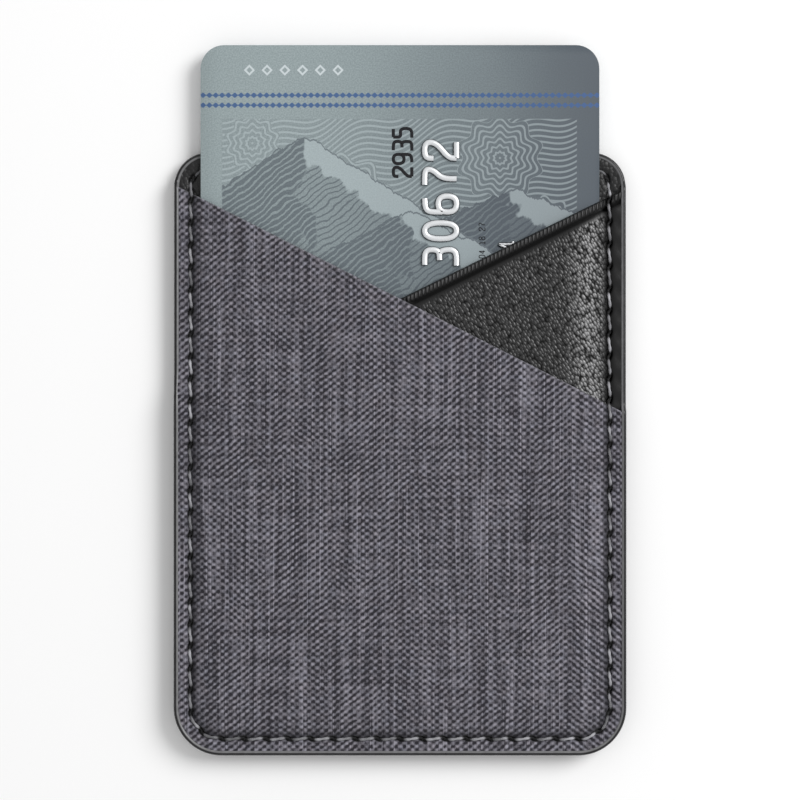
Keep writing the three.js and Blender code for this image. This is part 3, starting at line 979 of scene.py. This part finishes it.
class CARDHOLDER_OT_leather_panel(bpy.types.Operator):
    """Grained front panel with a ribbed, creased top edge that slants up to the right"""
    bl_idname = "cardholder.leather_panel"
    bl_label = "Leather panel"

    def execute(self, context):
        shape, seam, colours = settings(context)
        plan, triangles = panel_plan(shape, seam, partial(leather_depth, shape), FOLD_LINES)
        x, y = plan.T
        inset = inset_of(shape, x, y)
        depth = leather_depth(shape, x, y)
        bottom = BACK_TOP + shoulder_rise(shape, inset, 0)
        rim = BACK_TOP + shape.leather
        pull, pierced = seam_pull(shape, seam, x, y, inset)
        shown = ramp(-fabric_depth(shape, x, y), 0.0, BARE_BORDER)
        steep = shoulder_rise(shape, inset, 1)
        up_slope = np.clip((inset - shape.rim) / shape.bulge, 0.0, 1.0)
        rounded = (LEATHER_TOP - rim) * (1.0 - (1.0 - up_slope) ** 2)
        top = rim - 0.02 + steep + (rounded - steep) * shown
        top += (swell(shape, x, y, inset) - pull) * shown
        ridge = np.exp(-(((depth - RIDGE_MIDDLE) / RIDGE_WIDTH) ** 4))
        crease = hump(depth, CREASE_MIDDLE, CREASE_WIDTH)
        top += (RIDGE_RISE * ridge - CREASE_FALL * crease) * shown
        top = np.maximum(top, bottom + LEAST_LEATHER * ramp(inset, shape.rim, shape.rim + 0.4))
        top = np.maximum(top - edge_roundness(depth, FOLD_ROUNDING), bottom + THINNEST)
        vertices, faces = slab(plan, triangles, top, bottom)
        finish = leather_finish(colours)
        piece = new_piece("leather_panel_hide", vertices, faces, finish, "leather_panel")
        grained = ramp(depth, *GRAIN_BELOW_FOLD) * ramp(inset, *GRAIN_FROM_EDGE)
        # Painted highlight on the right shoulder of the bare leather
        painted_highlight = hump(inset, HIGHLIGHT_MIDDLE, HIGHLIGHT_WIDTH) * grained * ramp(x, *HIGHLIGHT_SIDE)
        add_mask(piece, "pierced", np.tile(pierced * shown, 2))
        add_mask(piece, "grained", np.tile(grained, 2))
        add_mask(piece, "painted_highlight", np.tile(painted_highlight, 2))
        add_mask(piece, "ribbed", np.tile(ridge, 2))
        # Painted shade in the fold by the seam and in the crease under the folded edge
        add_mask(piece, "fold", np.tile(fold_shade(seam, inset) * shown + 0.9 * crease, 2))
        return {"FINISHED"}


class CARDHOLDER_OT_back_panel(bpy.types.Operator):
    """Leather back, which is the pocket's floor"""
    bl_idname = "cardholder.back_panel"
    bl_label = "Back panel"

    def execute(self, context):
        shape, seam, colours = settings(context)
        plan, triangles = panel_plan(shape, seam, middle=2.5)
        x, y = plan.T
        bare = bare_back(shape, x, y, 0.3)
        pull, pierced = seam_pull(shape, seam, x, y, inset_of(shape, x, y))
        top = BACK_TOP - 0.01 - pull * bare * 0.9
        bottom = BACK_BOTTOM + np.minimum(pull, 0.5)
        vertices, faces = slab(plan, triangles, top, bottom)
        finish = smooth_leather_finish(colours)
        piece = new_piece("back_panel_hide", vertices, faces, finish, "back_panel")
        # The pierced mask marks where needle holes get painted shade
        add_mask(piece, "pierced", np.concatenate([pierced * bare, pierced]))
        return {"FINISHED"}


def surface_height(shape, x, y):
    """Height of the rim's upper face at places on the seam."""
    in_fabric = fabric_depth(shape, x, y)
    climbing = ramp(leather_depth(shape, x, y), -1.0, -0.1)
    leather_share = np.where(in_fabric >= 0, draped(shape, x, y), climbing)
    return BACK_TOP + shape.leather * leather_share + shape.fabric * ramp(in_fabric, -1.0, -0.1)


# Threads: steps of the mesh, twist, and how far they dip, in millimetres
STATIONS_PER_STITCH, THREAD_SIDES = 20, 12
PLY_SHARE = 0.14
TWISTS_PER_STITCH = 3.0
NEEDLE_DIP, BOBBIN_DIP = 0.62, 0.5
THREAD_SHARP_ANGLE = 75.0


def twisted_thread(shape, seam, height, lean):
    """Two-ply thread that dips into each needle hole and slants between them."""
    stations = stitch_count(shape, seam) * STATIONS_PER_STITCH
    shares = np.arange(stations) / stations
    phase = shares * stitch_count(shape, seam)
    inner = phase - np.floor(phase)
    points, outwards = outline_points(shape, seam.inset, shares)
    slant = np.clip(2.4 * (0.5 - inner), -1.0, 1.0) * np.sin(math.pi * inner) ** 0.3
    points = points + outwards * (lean * slant * seam.slant)[:, None]
    centre = height(points[:, 0], points[:, 1], inner)
    ahead = np.roll(points, -1, axis=0) - np.roll(points, 1, axis=0)
    tangent = np.column_stack([ahead, np.roll(centre, -1) - np.roll(centre, 1)])
    tangent /= np.linalg.norm(tangent, axis=1)[:, None]
    outward = np.column_stack([outwards, np.zeros(stations)])
    upward = np.cross(outward, tangent)
    upward *= np.sign(upward[:, 2:3])
    angle = 2 * math.pi * np.arange(THREAD_SIDES) / THREAD_SIDES
    plies = 2 * math.pi * phase * TWISTS_PER_STITCH
    swelling = np.cos(2.0 * (angle[None, :] - plies[:, None] / 2))
    reach = seam.thread / 2 * (1.0 - PLY_SHARE + PLY_SHARE * swelling)
    across = np.cos(angle)[None, :, None] * outward[:, None, :]
    across = across + np.sin(angle)[None, :, None] * upward[:, None, :]
    ring = np.column_stack([points, centre])[:, None, :] + reach[..., None] * across
    # Share of painted shade where the thread dips into a needle hole
    dip_shade = np.repeat(1.0 - thread_arch(inner), THREAD_SIDES)
    return ring.reshape(-1, 3), tube_faces(stations, THREAD_SIDES), dip_shade


def thread_arch(inner):
    """Height share of a stitch: 0 in the needle holes, 1 between them."""
    return ramp(np.minimum(inner, 1.0 - inner), 0.07, 0.35)


def tube_faces(stations, sides):
    """Faces of a tube that closes on itself."""
    faces = []
    for k in range(stations):
        after = (k + 1) % stations
        for j in range(sides):
            above = (j + 1) % sides
            faces.append((k * sides + j, after * sides + j, after * sides + above, k * sides + above))
    return faces


class CARDHOLDER_OT_threads(bpy.types.Operator):
    """Needle thread on the front and bobbin thread on the back"""
    bl_idname = "cardholder.threads"
    bl_label = "Threads"

    def execute(self, context):
        shape, seam, colours = settings(context)
        finish = thread_finish(colours)

        def over(x, y, inner):
            top = -0.02 - 0.2 * bare_back(shape, x, y, 1.0)
            return surface_height(shape, x, y) - NEEDLE_DIP + (NEEDLE_DIP + top) * thread_arch(inner)

        def under(x, y, inner):
            return BACK_BOTTOM + BOBBIN_DIP - (BOBBIN_DIP - 0.02) * thread_arch(inner) + seam.thread * 0.15

        for node, height, lean in (("needle_thread", over, 1.0), ("bobbin_thread", under, -1.0)):
            vertices, faces, dip_shade = twisted_thread(shape, seam, height, lean)
            piece = new_piece(node + "_twist", vertices, faces, finish, node, THREAD_SHARP_ANGLE)
            add_mask(piece, "dip_shade", dip_shade)
        return {"FINISHED"}


# Bead of paint, in millimetres; the tuck is a share of its width
COAT_SPACING = 0.3
COAT_TURN = 0.3
COAT_TUCK = 0.35
OUTER_REACH, INNER_REACH = 0.42, 0.12


class CARDHOLDER_OT_edge_coating(bpy.types.Operator):
    """Rounded bead of paint on the outer edge"""
    bl_idname = "cardholder.edge_coating"
    bl_label = "Edge coating"

    def execute(self, context):
        shape, seam, colours = settings(context)
        stations = int(outline_length(shape, 0.0) / COAT_SPACING)
        shares = np.arange(stations) / stations
        outer, _ = outline_points(shape, 0.0, shares)
        crown = surface_height(shape, *outer.T) + seam.bead_rise
        tuck = COAT_TUCK * seam.bead
        profile = [(tuck, BACK_BOTTOM, 0.0)]
        for angle in np.linspace(-math.pi / 2, 0.0, 6)[1:]:
            height = BACK_BOTTOM + COAT_TURN * (1.0 + math.sin(angle))
            profile.append((tuck * (1.0 - math.cos(angle)), height, 0.0))
        for angle in np.linspace(0.0, math.pi, 19):
            reach = OUTER_REACH if angle < math.pi / 2 else seam.bead_rise + INNER_REACH
            height = crown - reach * (1.0 - math.sin(angle))
            # Share of the painted highlight along the top of the bead
            crest_highlight = float(ramp(angle, 1.5, 1.9) * ramp(-angle, -2.95, -2.6))
            profile.append((seam.bead / 2 * (1.0 - math.cos(angle)), height, crest_highlight))
        profile.append((0.8 * seam.bead, BACK_BOTTOM + 0.02, 0.0))
        rings = []
        for inset, height, _ in profile:
            points, _ = outline_points(shape, inset, shares)
            rings.append(np.column_stack([points, np.broadcast_to(height, stations)]))
        vertices = np.stack(rings, axis=1).reshape(-1, 3)
        faces = tube_faces(stations, len(rings))
        finish = paint_finish(colours)
        piece = new_piece("edge_coating_bead", vertices, faces, finish, "edge_coating")
        add_mask(piece, "crest_highlight", np.tile([crest_highlight for _, _, crest_highlight in profile], stations))
        return {"FINISHED"}


# The card's corner radius and edge, in millimetres, and the steps round a corner
CARD_CORNER, CARD_EDGE, CARD_CORNER_STEPS = 3.18, 0.06, 10


def card_rings():
    """Rings of a rounded rectangle with softened edges, from one face of the card to the other."""
    half_x = (CARD_HIGH.x - CARD_LOW.x) / 2 / MM
    half_y = (CARD_HIGH.y - CARD_LOW.y) / 2 / MM
    middle_y = (CARD_HIGH.y + CARD_LOW.y) / 2 / MM
    low, high = CARD_LOW.z / MM, CARD_HIGH.z / MM
    profile = [(CARD_EDGE, 0.0), (CARD_EDGE * 0.3, CARD_EDGE * 0.3), (0.0, CARD_EDGE)]
    levels = [(inset, low + rise) for inset, rise in profile]
    levels += [(inset, high - rise) for inset, rise in reversed(profile)]
    rings = []
    for inset, z in levels:
        ring = []
        for quarter, (sx, sy) in enumerate(((1, -1), (1, 1), (-1, 1), (-1, -1))):
            for step in range(CARD_CORNER_STEPS + 1):
                angle = (quarter - 1 + step / CARD_CORNER_STEPS) * math.pi / 2
                reach = CARD_CORNER - inset
                x = sx * (half_x - CARD_CORNER) + reach * math.cos(angle)
                y = sy * (half_y - CARD_CORNER) + reach * math.sin(angle)
                ring.append((x, y + middle_y, z))
        rings.append(ring)
    return rings


# Strokes of each digit in a cell one unit wide and two high; the first value tells a closed stroke
DIGITS = {
    "0": [(True, (0, 0), (1, 0), (1, 2), (0, 2))],
    "1": [(False, (0.1, 1.55), (0.5, 2), (0.52, 0)), (False, (0.08, 0), (0.95, 0))],
    "2": [(False, (0, 1.45), (0.02, 2), (1, 2), (1, 1.3), (0.02, 0.5), (0, 0)), (False, (0, 0), (1, 0))],
    "3": [
        (False, (0.05, 2), (1, 2), (1, 1.1), (0.35, 1.06)),
        (False, (0.74, 1.09), (1, 0.9), (1, 0), (0, 0)),
    ],
    "4": [(False, (0.72, 0), (0.72, 2)), (False, (0.72, 2), (0.02, 0.6)), (False, (0.02, 0.6), (1, 0.6))],
    "5": [(False, (0.95, 2), (0.08, 2)), (False, (0.08, 2), (0.04, 1.15), (1, 1.3), (1, 0), (0, 0))],
    "6": [(False, (0.85, 2), (0, 1.95), (0, 0.88)), (True, (0, 0), (1, 0), (1, 1.15), (0, 1.15))],
    "7": [(False, (0.02, 2), (1, 2), (0.98, 1.5), (0.42, 0.9), (0.4, 0))],
    "8": [
        (True, (0.08, 1.16), (0.92, 1.16), (0.92, 2), (0.08, 2)),
        (True, (0, 0), (1, 0), (1, 1.02), (0, 1.02)),
    ],
    "9": [(False, (0.15, 0), (1, 0.05), (1, 1.12)), (True, (0, 0.85), (1, 0.85), (1, 2), (0, 2))],
}

# Each row of digits: its top corner, its digits' height and pitch, half a stroke's width, and its rise
ROWS = {
    "card_raised_digits": ((3.35, 42.1), 4.3, 3.63, 0.47, 0.42),
    "card_second_row": ((13.4, 28.7), 2.7, 2.1, 0.28, 0.3),
    "card_printed_digits": ((-0.9, 44.0), 2.5, 1.75, 0.22, 0.02),
    "card_small_print": ((10.7, 31.2), 0.8, 0.62, 0.06, 0.02),
}


def rounded_stroke(points, closed, rounds=3):
    """Cuts a stroke's corners until they are round."""
    for _ in range(rounds):
        ahead = points[1:] + points[:1] if closed else points[1:]
        cut = []
        for a, b in zip(points, ahead):
            cut.append((0.75 * a[0] + 0.25 * b[0], 0.75 * a[1] + 0.25 * b[1]))
            cut.append((0.25 * a[0] + 0.75 * b[0], 0.25 * a[1] + 0.75 * b[1]))
        if not closed:
            cut[0], cut[-1] = points[0], points[-1]
        points = cut
    return points


def digit_strokes(digit, height):
    """A digit's strokes in millimetres, turned to read upwards, its foot to the right."""
    strokes = []
    for closed, *points in DIGITS[digit]:
        smooth = rounded_stroke(list(points), closed)
        strokes.append((closed, [(height - v * height / 2, u * height / 2) for u, v in smooth]))
    return strokes


class CARDHOLDER_OT_card(bpy.types.Operator):
    """Plain card with raised and printed digits"""
    bl_idname = "cardholder.card"
    bl_label = "Card"

    raised: StringProperty(
        name="Raised digits",
        description="Row pressed up in the card",
        default="26053 74918 30672",
    )
    second: StringProperty(name="Second row", description="Smaller raised row", default="0918 2604")
    printed: StringProperty(name="Printed digits", description="Digits printed in black", default="2935")
    small: StringProperty(name="Small print", description="Tiny digits in black", default="04 18 27")

    def execute(self, context):
        _, _, colours = settings(context)
        self.plate(colours)
        silver, ink = silver_finish(colours), ink_finish()
        texts = (self.raised, self.second, self.printed, self.small)
        for name, text, material in zip(ROWS, texts, (silver, silver, ink, ink)):
            self.row(name, text, material)
        return {"FINISHED"}

    def plate(self, colours):
        rings = card_rings()
        count = len(rings[0])
        vertices = [v for ring in rings for v in ring]
        faces = [tuple(reversed(range(count)))]
        for k in range(len(rings) - 1):
            for j in range(count):
                after = (j + 1) % count
                faces.append((k * count + j, k * count + after, (k + 1) * count + after, (k + 1) * count + j))
        faces.append(tuple((len(rings) - 1) * count + j for j in range(count)))
        new_piece("card_plate", vertices, faces, card_finish(colours), "card")

    def row(self, name, text, material):
        """A row of digits that reads upwards and ends at its top corner, each stroke half in the card."""
        corner, height, pitch, half_stroke, rise = ROWS[name]
        curve = bpy.data.curves.new(name, "CURVE")
        curve.dimensions = "3D"
        curve.bevel_depth = half_stroke * MM
        curve.bevel_resolution = 3
        curve.use_fill_caps = True
        for place, digit in enumerate(reversed(text)):
            if digit == " ":
                continue
            base = corner[1] - place * pitch - height / 2
            for closed, points in digit_strokes(digit, height):
                spline = curve.splines.new("POLY")
                spline.points.add(len(points) - 1)
                spline.use_cyclic_u = closed
                for point, (x, y) in zip(spline.points, points):
                    point.co = ((corner[0] + x) * MM, (base + y) * MM, 0.0, 1.0)
        carrier = bpy.data.objects.new(name, curve)
        mesh = bpy.data.meshes.new_from_object(carrier)
        bpy.data.objects.remove(carrier)
        bpy.data.curves.remove(curve)
        flattening = Matrix.Diagonal((1.0, 1.0, rise / half_stroke, 1.0))
        mesh.transform(Matrix.Translation((0, 0, CARD_HIGH.z)) @ flattening)
        mesh.materials.clear()
        mesh.materials.append(material)
        mesh.shade_smooth()
        piece = bpy.data.objects.new(name, mesh)
        bpy.context.scene.collection.objects.link(piece)
        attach(piece, BODY)


class CARDHOLDER_OT_backing(bpy.types.Operator):
    """Adhesive pad and its release paper"""
    bl_idname = "cardholder.backing"
    bl_label = "Backing"

    def execute(self, context):
        _, _, colours = settings(context)
        finishes = {"adhesive_pad": foam_finish(colours), "release_liner": paper_finish(colours)}
        for node, finish in finishes.items():
            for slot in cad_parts[node].material_slots:
                slot.material = finish
        return {"FINISHED"}


# The stage, in metres
FLOOR_HALF = 3.0
FLOOR_TONE = (0.97, 0.97, 0.97, 1.0)
KEY_PLACE, KEY_SIZE = (0.62, 0.36, 0.6), 0.55
KEY_AIM = (0.0, 0.007, 0.0)


class CARDHOLDER_OT_stage(bpy.types.Operator):
    """Pale floor, soft light and the camera straight above"""
    bl_idname = "cardholder.stage"
    bl_label = "Stage"

    def execute(self, context):
        stage = context.scene.holder_stage
        self.floor(context)
        self.sky(context, stage)
        self.key_lamp(context, stage)
        self.camera(context, stage)
        context.scene.view_settings.view_transform = "Standard"
        return {"FINISHED"}

    def floor(self, context):
        mesh = bpy.data.meshes.new("floor")
        corners = [(x * FLOOR_HALF, y * FLOOR_HALF, 0) for x, y in ((-1, -1), (1, -1), (1, 1), (-1, 1))]
        mesh.from_pydata(corners, [], [(0, 1, 2, 3)])
        material = bpy.data.materials.new("floor")
        material.use_nodes = True
        shader = material.node_tree.nodes["Principled BSDF"]
        shader.inputs["Base Color"].default_value = FLOOR_TONE
        shader.inputs["Roughness"].default_value = 0.9
        mesh.materials.append(material)
        floor = bpy.data.objects.new("floor", mesh)
        context.scene.collection.objects.link(floor)
        floor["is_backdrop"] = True

    def sky(self, context, stage):
        world = bpy.data.worlds.new("sky")
        world.use_nodes = True
        background = world.node_tree.nodes["Background"]
        background.inputs["Color"].default_value = (1.0, 1.0, 1.0, 1.0)
        background.inputs["Strength"].default_value = stage.sky
        context.scene.world = world

    def key_lamp(self, context, stage):
        data = bpy.data.lights.new("key_lamp", "AREA")
        data.energy = stage.key
        data.shape = "DISK"
        data.size = KEY_SIZE
        lamp = bpy.data.objects.new("key_lamp", data)
        lamp.location = KEY_PLACE
        lamp.rotation_mode = "QUATERNION"
        lamp.rotation_quaternion = (Vector(KEY_PLACE) - Vector(KEY_AIM)).to_track_quat("Z", "Y")
        context.scene.collection.objects.link(lamp)

    def camera(self, context, stage):
        low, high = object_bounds()
        centre = (low + high) / 2
        data = bpy.data.cameras.new("camera")
        data.lens = stage.lens
        camera = bpy.data.objects.new("camera", data)
        span = (high.y - low.y) * stage.margin
        distance = span / 2 / (data.sensor_width / 2 / data.lens)
        camera.location = (centre.x, centre.y, high.z + distance)
        data.clip_start = distance * 0.05
        data.clip_end = distance * 10
        context.scene.collection.objects.link(camera)
        context.scene.camera = camera


class CARDHOLDER_PT_panel(bpy.types.Panel):
    bl_idname = "CARDHOLDER_PT_panel"
    bl_label = "Card holder"
    bl_space_type = "VIEW_3D"
    bl_region_type = "UI"
    bl_category = "Card holder"

    def draw(self, context):
        layout = self.layout
        for group in GROUPS:
            box = layout.box()
            values = getattr(context.scene, group)
            for key in values.bl_rna.properties.keys():
                if key not in {"rna_type", "name"}:
                    box.prop(values, key)
        for operator in OPERATORS:
            layout.operator(operator.bl_idname)


GROUPS = {
    "holder_shape": CARDHOLDER_PG_shape,
    "holder_seam": CARDHOLDER_PG_seam,
    "holder_colours": CARDHOLDER_PG_colours,
    "holder_stage": CARDHOLDER_PG_stage,
}
OPERATORS = (
    CARDHOLDER_OT_back_panel,
    CARDHOLDER_OT_leather_panel,
    CARDHOLDER_OT_fabric_panel,
    CARDHOLDER_OT_threads,
    CARDHOLDER_OT_edge_coating,
    CARDHOLDER_OT_card,
    CARDHOLDER_OT_backing,
    CARDHOLDER_OT_stage,
)


def register():
    for kind in (*GROUPS.values(), *OPERATORS, CARDHOLDER_PT_panel):
        bpy.utils.register_class(kind)
    for name, group in GROUPS.items():
        setattr(bpy.types.Scene, name, PointerProperty(type=group))


def unregister():
    for name in GROUPS:
        delattr(bpy.types.Scene, name)
    for kind in (CARDHOLDER_PT_panel, *reversed(OPERATORS), *GROUPS.values()):
        bpy.utils.unregister_class(kind)


def main():
    register()
    bpy.ops.cardholder.back_panel()
    bpy.ops.cardholder.leather_panel()
    bpy.ops.cardholder.fabric_panel()
    bpy.ops.cardholder.threads()
    bpy.ops.cardholder.edge_coating()
    bpy.ops.cardholder.card()
    bpy.ops.cardholder.backing()
    bpy.ops.cardholder.stage()


if __name__ == "__main__":
    main()
